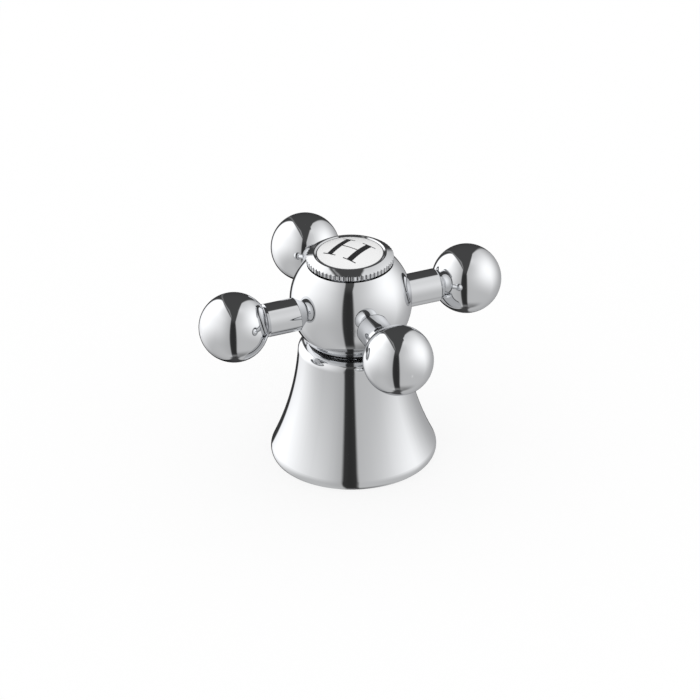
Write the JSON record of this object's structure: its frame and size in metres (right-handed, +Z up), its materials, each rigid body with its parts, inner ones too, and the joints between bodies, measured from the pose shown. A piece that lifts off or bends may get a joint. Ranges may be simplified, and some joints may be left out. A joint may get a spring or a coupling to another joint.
{
  "type": "cross-head tap handle",
  "caption": "Chrome cross-head tap handle: ball hub with ball-ended arms and a lettered white index disc, turning on a flared bell shroud.",
  "frame": {"origin": "centre of the shroud's foot, on the turning axis", "axes": "+Z up along the turning axis, X and Y along the arms"},
  "size_m": [0.07, 0.07, 0.0505],
  "materials": {
    "chrome_plate": "mirror-polished chrome plate on brass",
    "black_acetal": "smooth black acetal",
    "bare_brass": "machined brass",
    "screw_steel": "stainless steel",
    "white_enamel": "glossy white enamel"
  },
  "bodies": {
    "shroud": {"bell_shroud": "chrome_plate"},
    "cross_head": {"hub": "chrome_plate", "bearing_ring": "black_acetal", "arm_right": "chrome_plate", "arm_back": "chrome_plate", "arm_left": "chrome_plate", "arm_front": "chrome_plate", "spline_bush": "bare_brass", "retaining_screw": "screw_steel", "index_cap": "chrome_plate", "index_disc": "white_enamel"}
  },
  "joints": [
    {"name": "handle_turn", "type": "hinge", "parent": "shroud", "child": "cross_head", "pos_m": [0, 0, 0.03687], "axis": [0, 0, 1], "continuous": true}
  ]
}
